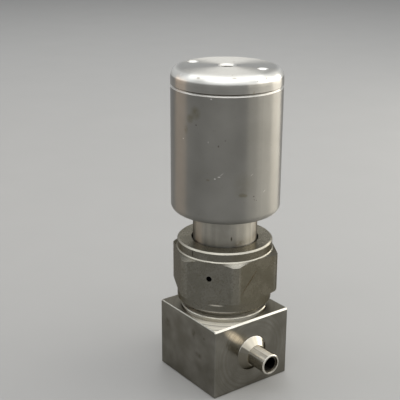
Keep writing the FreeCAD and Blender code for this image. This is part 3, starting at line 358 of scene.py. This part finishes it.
formed = Finish("formed_bellows_steel")
forming = formed.noise(1.0, 3.0, formed.stretched((500.0, 500.0, 900.0)))
formed_finish = formed.close(
    formed.blend(forming, (0.50, 0.48, 0.44, 1.0), (0.62, 0.61, 0.58, 1.0)),
    0.20 + 0.14 * forming, formed.noise(3000.0), 0.002 * mm, Metallic=1.0)
bellows_bm = bmesh.new()
lathe(bellows_bm, stem_side + far_side[::-1], 96)
bellows = finished("formed_bellows", bellows_bm, formed_finish, "valve")
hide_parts("bellows")
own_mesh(bellows)

# The soft tip is a disc of pale fluoropolymer pressed into the stem head, and the guide bush a
# short tube of dark bearing plastic pressed into the bonnet.
pale = Finish("pale_fluoropolymer")
pale_cloud = pale.noise(700.0, 3.0)
tip_finish = pale.close(
    pale.blend(pale_cloud, (0.66, 0.63, 0.54, 1.0), (0.76, 0.74, 0.66, 1.0)),
    0.42 + 0.12 * pale_cloud, pale.noise(5000.0), 0.003 * mm)
dress(tip_finish, "stem_tip")

dark = Finish("dark_bearing_plastic")
dark_fleck = dark.noise(4000.0, 2.0)
bush_finish = dark.close(
    dark.blend(dark_fleck, (0.030, 0.027, 0.024, 1.0), (0.060, 0.054, 0.048, 1.0)),
    0.45 + 0.15 * dark_fleck, dark_fleck, 0.004 * mm)
dress(bush_finish, "stem_guide_bush")

# The bonnet is turned from stainless bar. Its neck, seen between the nut and the actuator, is
# polished with fine cloth and has one small pit. Its soft upright reflections come partly from the
# lamps and partly from painted lighter upright bands.
polished = Finish("polished_bonnet_neck")
polish_lines = polished.noise(1.0, 3.0, polished.stretched((260.0, 260.0, 9000.0)))
polish_cloud = polished.between(polished.noise(260.0, 3.0), 0.4, 0.7)
pit = spots(polished, [((8.76, -4.39, 48.0), (0.40, 0.30, 0.9))])
neck_stain = spots(polished, [((9.6, -1.8, 46.2), (1.8, 2.2, 1.3))])
neck_stain = neck_stain * polished.between(polished.noise(1500.0, 4.0), 0.38, 0.60)
polished_colour = polished.blend(polish_cloud, (0.330, 0.316, 0.280, 1.0), (0.390, 0.375, 0.338, 1.0))
# Painted reflections: lighter upright bands round the neck.
painted_reflection_bands = polished.noise(1.0, 2.0, polished.stretched((420.0, 420.0, 25.0)))
polished_colour = polished.blend(
    0.50 * polished.between(painted_reflection_bands, 0.45, 0.60), polished_colour, (0.50, 0.472, 0.410, 1.0))
polished_colour = polished.blend(0.45 * neck_stain, polished_colour, (0.150, 0.108, 0.060, 1.0))
polished_colour = polished.blend(pit, polished_colour, (0.10, 0.085, 0.065, 1.0))
bonnet_finish = polished.close(
    polished_colour, 0.27 + 0.05 * polish_lines + 0.05 * polish_cloud + 0.2 * pit,
    polish_lines, 0.002 * mm, Metallic=1.0, Anisotropic=0.92, Anisotropic_Rotation=0.25,
    Specular_Tint=(0.30, 0.28, 0.25, 1.0))
dress(bonnet_finish, "bonnet")

# The bonnet nut is hexagon bar, turned to a collar above and below and milled on its flats. It is
# a darker olive grey than the rest. One flat has a scuffed line, and the upper collar a short nick.
nut = Finish("olive_nut_steel")
nut_lines = nut.noise(1.0, 3.0, nut.stretched((350.0, 350.0, 6500.0)))
nut_cloud = nut.between(nut.noise(210.0, 4.0), 0.36, 0.68)
nut_grain = nut.noise(7000.0, 2.0)
scuff_grit = nut.between(nut.noise(2600.0, 2.0), 0.36, 0.56)
scuff = scuff_grit * spots(nut, [((15.0, -2.2, 35.9), (1.5, 0.42, 6.2), (-0.77, 0.0, 0.0))])
# Painted shade: the leak hole is a near-black disc on the flat.
leak_hole_shade = spots(nut, [((7.28, -10.76, 37.0), (1.75, 1.75, 1.75))])
nut_speckle = nut.noise(2200.0, 2.0)
collar_nick = spots(nut, [((2.8, -14.3, 43.8), (0.35, 1.0, 1.3))])
nut_land = nut.between((nut.x * nut.x + nut.y * nut.y) ** 0.5, 16.25 * mm, 16.40 * mm)
nut_bevel = nut.between(nut.facing[2], 0.55, 0.62) * nut.between(nut.facing[2], 0.82, 0.78)
nut_chamfer = nut.between(nut.facing[2], 0.84, 0.88) * nut.between(nut.facing[2], 0.97, 0.95)
nut_foot = nut.between(nut.facing[2], -0.20, -0.34)
# Painted highlights: a pale dash on the lower collar and a pale line along its bottom edge, on the
# front side only.
foot_dash = spots(nut, [((9.9, -10.7, 28.50), (2.6, 2.6, 0.32))])
foot_rim = spots(nut, [((10.2, -10.4, 26.15), (8.0, 8.0, 0.50))])
foot_highlight = 0.9 * foot_dash + 0.60 * foot_rim
browned_flat = nut.between(nut.facing[0], 0.80, 0.98)
# Painted highlight: one corner of the upper chamfer is pale and less metallic.
painted_chamfer_highlight = spots(nut, [((14.6, -7.0, 42.6), (4.4, 5.6, 2.6))])
nut_top = nut.between(nut.facing[2], 0.97, 0.99)
nut_colour = nut.blend(nut_cloud, (0.165, 0.158, 0.132, 1.0), (0.215, 0.207, 0.180, 1.0))
nut_colour = nut.blend(0.45 * browned_flat, nut_colour, (0.180, 0.155, 0.098, 1.0))
nut_colour = nut.blend(0.4 * nut_land, nut_colour, (0.300, 0.290, 0.252, 1.0))
# Painted light: the top face gets a lighter, less metallic tone.
nut_colour = nut.blend(0.9 * nut_top, nut_colour, (0.225, 0.213, 0.175, 1.0))
nut_colour = nut.blend(
    0.5 * nut.between(nut_speckle, 0.48, 0.66), nut_colour, (0.125, 0.112, 0.080, 1.0))
nut_colour = nut.blend(nut_chamfer * painted_chamfer_highlight, nut_colour, (0.85, 0.83, 0.75, 1.0))
# Painted highlight: the upward-facing bevels are lightened.
nut_colour = nut.blend(0.8 * nut_bevel, nut_colour, (0.46, 0.445, 0.39, 1.0))
# Painted highlight: the downward-facing bottom bevel is lightened.
nut_colour = nut.blend(0.8 * nut_foot, nut_colour, (0.45, 0.43, 0.37, 1.0))
nut_colour = nut.blend(foot_highlight, nut_colour, (0.72, 0.685, 0.60, 1.0))
nut_colour = nut.blend(0.90 * scuff, nut_colour, (0.075, 0.055, 0.028, 1.0))
nut_colour = nut.blend(nut.between(leak_hole_shade, 0.0, 0.3), nut_colour, (0.010, 0.009, 0.008, 1.0))
nut_colour = nut.blend(0.85 * collar_nick, nut_colour, (0.04, 0.035, 0.03, 1.0))
nut_finish = nut.close(
    nut_colour, 0.20 + 0.08 * nut_cloud + 0.06 * nut_grain + 0.15 * scuff + 0.10 * nut_bevel,
    nut_lines + 0.4 * nut_grain, 0.004 * mm, Anisotropic=0.4, Anisotropic_Rotation=0.25,
    Specular_Tint=(0.42, 0.40, 0.36, 1.0))
nut.feed(nut.shader, {
    "Metallic": 1.0 - 0.6 * nut_chamfer * painted_chamfer_highlight - 0.30 * nut_top - 0.5 * foot_highlight})
dress(nut_finish, "bonnet_nut")

# The actuator's cylinder is turned aluminium with a satin surface. Handling has left small dark
# pits, a brown stain, a light nick and one white speck under the rim.
satin = Finish("satin_cylinder")
satin_lines = satin.noise(1.0, 4.0, satin.stretched((220.0, 220.0, 8000.0)))
satin_grain = satin.noise(5200.0, 3.0)
satin_cloud = satin.between(satin.noise(90.0, 4.0), 0.35, 0.70)
dark_spots = [
    ((5.88, -15.37, 83.72), (0.34, 0.34, 0.26)),
    ((11.50, -11.76, 78.26), (0.28, 0.28, 0.42)),
    ((12.77, -10.37, 79.94), (0.18, 0.18, 0.20)),
    ((16.25, -2.54, 63.07), (0.36, 0.36, 0.24)),
    ((16.37, -1.61, 61.76), (0.20, 0.20, 0.20)),
    ((16.29, -2.28, 62.01), (0.16, 0.16, 0.18)),
    ((13.81, 8.93, 72.32), (0.24, 0.24, 0.26)),
    ((16.06, 3.57, 77.24), (0.16, 0.16, 0.16)),
    ((16.12, -3.27, 92.20), (0.26, 0.26, 0.50)),
]
light_spots = [
    ((10.81, -12.40, 68.72), (0.34, 0.34, 0.24)),
    ((11.67, -11.59, 69.32), (0.50, 0.50, 0.18)),
    ((9.83, -13.19, 91.49), (0.34, 0.34, 0.24)),
    ((1.20, -16.41, 79.03), (0.20, 0.20, 0.20)),
]
faint_scratches = [
    ((12.17, -11.06, 70.06), (0.50, 0.90, 0.16), (0.75, 0.0, -0.74)),
    ((9.21, -13.63, 79.25), (0.20, 0.20, 0.40)),
    ((16.41, 1.21, 64.01), (0.50, 0.75, 0.15), (0.67, 0.0, 0.07)),
    ((16.12, -3.29, 69.64), (0.50, 0.60, 0.13), (0.61, 0.0, -0.20)),
]
brown_spots = [
    ((5.60, -15.47, 87.10), (2.0, 2.0, 2.30)),
    ((3.82, -16.00, 85.25), (1.5, 1.5, 1.60)),
    ((2.37, -16.28, 81.90), (0.9, 0.9, 1.60)),
    ((15.25, -6.16, 63.85), (0.9, 1.2, 0.80)),
    ((15.62, -5.16, 63.61), (0.7, 0.9, 0.60)),
    ((9.18, -13.65, 68.18), (0.7, 0.7, 0.40)),
]
olive_haze = spots(satin, [((15.4, -5.8, 66.8), (3.6, 3.6, 4.6))])
pits = spots(satin, dark_spots)
nicks = spots(satin, light_spots)
stain = satin.between(spots(satin, brown_spots) + 0.35 * olive_haze, 0.0, 1.0)
stain = stain * satin.between(satin.noise(650.0, 4.0), 0.15, 0.55)
speck = satin.between(satin.noise(1700.0, 1.0), 0.74, 0.80)
satin_colour = satin.blend(satin_cloud, (0.228, 0.222, 0.203, 1.0), (0.265, 0.259, 0.238, 1.0))
satin_colour = satin.blend(0.60 * stain, satin_colour, (0.160, 0.142, 0.090, 1.0))
satin_colour = satin.blend(0.35 * speck, satin_colour, (0.14, 0.12, 0.09, 1.0))
satin_colour = satin.blend(0.80 * pits, satin_colour, (0.09, 0.075, 0.06, 1.0))
satin_colour = satin.blend(0.70 * nicks, satin_colour, (0.85, 0.84, 0.80, 1.0))
satin_colour = satin.blend(0.28 * spots(satin, faint_scratches), satin_colour, (0.80, 0.79, 0.74, 1.0))
# Painted highlight: upward-facing bevels and rims are lightened.
satin_colour = satin.blend(satin.sloping(), satin_colour, (0.74, 0.73, 0.69, 1.0))
cylinder_finish = satin.close(
    satin_colour, 0.35 + 0.05 * satin_lines + 0.05 * satin_cloud + 0.04 * satin_grain,
    satin_lines + 0.5 * satin_grain, 0.003 * mm,
    Metallic=1.0, Anisotropic=0.95, Anisotropic_Rotation=0.25)
dress(cylinder_finish, "actuator_cylinder")

# Inside the cylinder: two turned aluminium pistons with a fixed plate between them, and the clips
# and ring of spring steel that hold them.
piston = Finish("turned_piston_aluminium")
piston_lines = piston.rings(piston.x, piston.y, 0.25 * mm)
piston_finish = piston.close(
    piston.blend(piston_lines, (0.60, 0.60, 0.61, 1.0), (0.72, 0.72, 0.73, 1.0)),
    0.26 + 0.10 * piston_lines, piston_lines, 0.004 * mm,
    Metallic=1.0, Anisotropic=0.5, Anisotropic_Rotation=0.25)
dress(piston_finish, "lower_piston", "upper_piston", "divider_plate")

spring_steel = Finish("spring_steel")
scale_cloud = spring_steel.noise(800.0, 3.0)
spring_finish = spring_steel.close(
    spring_steel.blend(scale_cloud, (0.20, 0.20, 0.21, 1.0), (0.33, 0.33, 0.34, 1.0)),
    0.28 + 0.16 * scale_cloud, scale_cloud, 0.004 * mm, Metallic=1.0)
dress(spring_finish, "lower_piston_clip", "upper_piston_clip", "divider_snap_ring")

# The two return springs stand one inside the other between the upper piston and the cap. Each is
# round wire, coiled with a flat turn at both ends.
springs_bottom = 78.3 * mm
springs_top = 93.0 * mm
steps_per_turn = 40
flat_turns = 0.8


def coil(name, node, mean_radius, wire_radius, turns):
    """Spin a round of wire up the coil, flat at first, rising in between and flat at last."""
    bm = bmesh.new()
    wire = bmesh.ops.create_circle(bm, cap_ends=True, radius=wire_radius, segments=14)["verts"]
    stand = Matrix.Translation((mean_radius, 0.0, springs_bottom + wire_radius))
    bmesh.ops.transform(bm, matrix=stand @ Matrix.Rotation(math.radians(90.0), 4, "X"), verts=wire)
    rise = springs_top - springs_bottom - 2.0 * wire_radius
    moving = list(bm.faces)
    for share, climb in ((flat_turns, 0.0), (turns - 2.0 * flat_turns, rise), (flat_turns, 0.0)):
        steps = round(share * steps_per_turn)
        spun = bmesh.ops.spin(
            bm, geom=moving, cent=(0.0, 0.0, 0.0), axis=(0.0, 0.0, 1.0),
            dvec=(0.0, 0.0, climb / steps), angle=2.0 * math.pi * share, steps=steps)
        moving = [item for item in spun["geom_last"] if isinstance(item, bmesh.types.BMFace)]
    piece = finished(name, bm, spring_finish, "valve")
    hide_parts(node)
    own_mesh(piece)


coil("outer_coil", "outer_return_spring", 11.4 * mm, 1.1 * mm, 4.5)
coil("inner_coil", "inner_return_spring", 7.4 * mm, 0.8 * mm, 5.5)

# The ten round seals are black elastomer, moulded, with a little grease on them.
rubber = Finish("greased_black_seal")
smear = rubber.noise(1200.0, 3.0)
seal_finish = rubber.close(
    rubber.blend(smear, (0.012, 0.012, 0.012, 1.0), (0.028, 0.028, 0.027, 1.0)),
    0.30 + 0.25 * smear, smear, 0.004 * mm)
dress(seal_finish, *[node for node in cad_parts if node.endswith("_seal")])

# The cap is turned aluminium with a rounded edge, screwed into the cylinder with a pin spanner.
# Its flat top is faced, with rings round the air port, and its rounded edge has small dents.
cap = Finish("faced_cap")
cap_top = cap.between(cap.facing[2], 0.97, 0.99)
cap_rounding = cap.between(cap.facing[2], 0.22, 0.34) * cap.between(cap.facing[2], 1.0, 0.80)
seam_chamfer_shade = cap.between(cap.facing[2], -0.30, -0.50)
cap_rings = cap.rings(cap.x, cap.y, 0.35 * mm)
cap_lines = cap.noise(1.0, 3.0, cap.stretched((220.0, 220.0, 8000.0)))
cap_grain = cap.noise(5200.0, 3.0)
cap_cloud = cap.between(cap.noise(140.0, 4.0), 0.36, 0.70)
cap_dents = spots(cap, [
    ((5.67, -14.52, 96.82), (0.70, 0.70, 0.35)),
    ((11.74, -7.42, 97.81), (0.35, 0.35, 0.35)),
    ((13.09, -7.79, 97.15), (0.95, 0.95, 0.22)),
    ((15.92, -1.92, 96.19), (0.22, 0.22, 0.22)),
    ((15.75, 1.41, 96.55), (0.50, 0.50, 0.30)),
    ((-2.86, 4.71, 97.90), (0.50, 0.50, 0.30)),
    ((16.12, -3.27, 93.10), (0.30, 0.30, 0.70)),
])
cap_dings = spots(cap, [
    ((-1.09, -15.57, 96.80), (0.60, 0.60, 0.60)),
    ((13.08, 9.66, 95.69), (0.40, 0.40, 0.40)),
])
cap_colour = cap.blend(cap_cloud, (0.290, 0.282, 0.260, 1.0), (0.335, 0.327, 0.305, 1.0))
cap_colour = cap.blend(cap_top, cap_colour, (0.375, 0.368, 0.343, 1.0))
# Painted highlight: the rounded edge is pale and a little less metallic.
rounding_highlight_colour = cap.blend(0.35 * cap_cloud, (0.78, 0.78, 0.75, 1.0), (0.62, 0.60, 0.54, 1.0))
cap_colour = cap.blend(cap_rounding, cap_colour, rounding_highlight_colour)
# Painted shade: the downward-facing chamfer at the seam is darkened.
cap_colour = cap.blend(seam_chamfer_shade, cap_colour, (0.110, 0.098, 0.080, 1.0))
cap_colour = cap.blend(0.55 * cap_dents, cap_colour, (0.20, 0.17, 0.12, 1.0))
cap_colour = cap.blend(0.80 * cap_dings, cap_colour, (0.90, 0.90, 0.90, 1.0))
cap_finish = cap.close(
    cap_colour, 0.33 + 0.04 * cap_cloud + 0.03 * cap_grain + 0.04 * cap_top - 0.06 * cap_rounding,
    cap_rings * cap_top + cap_lines * (1.0 - cap_top) + 0.4 * cap_grain, 0.002 * mm,
    Anisotropic=0.9, Anisotropic_Rotation=0.25)
cap.feed(cap.shader, {"Metallic": 1.0 - 0.15 * cap_rounding})
dress(cap_finish, "actuator_cap")

port_radius = 2.1 * mm
port_thread_top = 97.3 * mm
port_thread_pitch = 0.8 * mm
port_thread_turns = 5
steps_per_thread = 40
ridge_foot = port_radius + 0.02 * mm
ridge_tip = port_radius - 0.26 * mm
half_foot = 0.34 * mm
half_tip = 0.05 * mm
port_bm = bmesh.new()
ridge = [(ridge_foot, -half_foot), (ridge_tip, -half_tip),
         (ridge_tip, half_tip), (ridge_foot, half_foot)]
ridge_start = port_thread_top - half_foot - port_thread_turns * port_thread_pitch
ridge_face = port_bm.faces.new(
    [port_bm.verts.new((radius, 0.0, ridge_start + height)) for radius, height in ridge])
bmesh.ops.spin(
    port_bm, geom=[ridge_face], cent=(0.0, 0.0, 0.0), axis=(0.0, 0.0, 1.0),
    dvec=(0.0, 0.0, port_thread_pitch / steps_per_thread),
    angle=2.0 * math.pi * port_thread_turns, steps=port_thread_turns * steps_per_thread)
finished("air_port_thread", port_bm, cap_finish, "valve")

# The floor is a plain pale sheet. Soft panels stand overhead, high in front, to both sides and
# behind the valve, as a light tent has them, and the tent's cloth itself is pale and even.
floor_bm = bmesh.new()
bmesh.ops.create_grid(floor_bm, x_segments=1, y_segments=1, size=6.0)
floor_mesh = bpy.data.meshes.new("floor")
floor_bm.to_mesh(floor_mesh)
floor_bm.free()
sheet = Finish("pale_floor")
sheet_colour = sheet.blend(sheet.noise(30.0, 2.0), (0.40, 0.404, 0.404, 1.0), (0.42, 0.424, 0.424, 1.0))
floor_mesh.materials.append(sheet.close(sheet_colour, 0.9))
floor = bpy.data.objects.new("floor", floor_mesh)
bpy.context.scene.collection.objects.link(floor)

camera_side = math.radians(-36.5)
aim_height = 0.06


def panel(name, turn, rise, distance, width, tall, glow, colour):
    """A soft panel that faces the valve: its turn to the right of the camera, its rise, its glow."""
    light = bpy.data.lights.new(name, "AREA")
    light.shape = "RECTANGLE"
    light.size = width
    light.size_y = tall
    light.energy = glow * math.pi * width * tall
    light.color = colour
    lamp = bpy.data.objects.new(name, light)
    lamp.visible_camera = False
    across = distance * math.cos(math.radians(rise))
    angle = camera_side + math.radians(turn)
    lamp.location = (across * math.cos(angle), across * math.sin(angle),
                     aim_height + distance * math.sin(math.radians(rise)))
    aim = Vector((0.0, 0.0, aim_height)) - lamp.location
    lamp.rotation_euler = aim.to_track_quat("-Z", "Y").to_euler()
    bpy.context.scene.collection.objects.link(lamp)


panel("overhead", 0.0, 90.0, 0.84, 1.50, 1.50, 1.20, (1.0, 0.99, 0.97))
panel("front_high", 0.0, 56.0, 0.90, 1.30, 0.40, 0.80, (1.0, 0.99, 0.97))
panel("right_high", 95.0, 30.0, 0.90, 0.60, 0.50, 1.30, (1.0, 0.97, 0.90))
panel("left_high", -100.0, 34.0, 0.90, 0.50, 0.50, 0.60, (0.93, 0.97, 1.0))
panel("back_high", 180.0, 38.0, 0.90, 0.34, 0.35, 2.20, (1.0, 0.99, 0.97))
panel("right_back", 116.0, 7.0, 0.50, 0.30, 0.22, 5.20, (1.0, 0.94, 0.84))
panel("right_low", 82.0, 7.0, 0.60, 0.36, 0.24, 2.60, (1.0, 0.95, 0.85))
panel("right_front", 54.0, 7.0, 0.60, 0.28, 0.24, 1.60, (1.0, 0.95, 0.85))
panel("left_back", -106.0, 5.0, 0.50, 0.32, 0.14, 1.70, (1.0, 0.74, 0.54))

world = bpy.data.worlds.new("tent")
bpy.context.scene.world = world
world.use_nodes = True
tent = world.node_tree.nodes
ray = tent.new("ShaderNodeLightPath")
shown = ray.outputs["Is Camera Ray"]
for kind in ("Is Glossy Ray", "Is Transmission Ray"):
    either = tent.new("ShaderNodeMath")
    either.operation = "MAXIMUM"
    world.node_tree.links.new(shown, either.inputs[0])
    world.node_tree.links.new(ray.outputs[kind], either.inputs[1])
    shown = either.outputs[0]
cloth_light = (0.20, 0.20, 0.20, 1.0)
cloth_look = (0.56, 0.57, 0.58, 1.0)
cloth = tent.new("ShaderNodeMix")
cloth.data_type = "RGBA"
cloth.inputs[6].default_value = cloth_light
cloth.inputs[7].default_value = cloth_look
world.node_tree.links.new(shown, cloth.inputs[0])
world.node_tree.links.new(cloth.outputs[2], tent["Background"].inputs["Color"])

# The camera stands where the photograph was taken from.
camera_place = (0.20306, -0.15999, 0.14784)
camera_turn = math.radians(53.462)
camera_height = math.radians(19.407)
camera_roll = math.radians(0.283)
focal_length = 81.63
back = Vector((math.sin(camera_turn) * math.cos(camera_height),
               -math.cos(camera_turn) * math.cos(camera_height), math.sin(camera_height)))
right = Vector((math.cos(camera_turn), math.sin(camera_turn), 0.0))
up = back.cross(right)
rolled_right = right * math.cos(camera_roll) + up * math.sin(camera_roll)
rolled_up = up * math.cos(camera_roll) - right * math.sin(camera_roll)
lens = bpy.data.cameras.new("camera")
lens.sensor_width = 36.0
lens.lens = focal_length
lens.clip_start = 0.01
camera = bpy.data.objects.new("camera", lens)
camera.matrix_world = Matrix.Translation(camera_place) @ Matrix(
    (rolled_right, rolled_up, back)).transposed().to_4x4()
bpy.context.scene.collection.objects.link(camera)
bpy.context.scene.camera = camera
bpy.context.scene.view_settings.view_transform = "Standard"
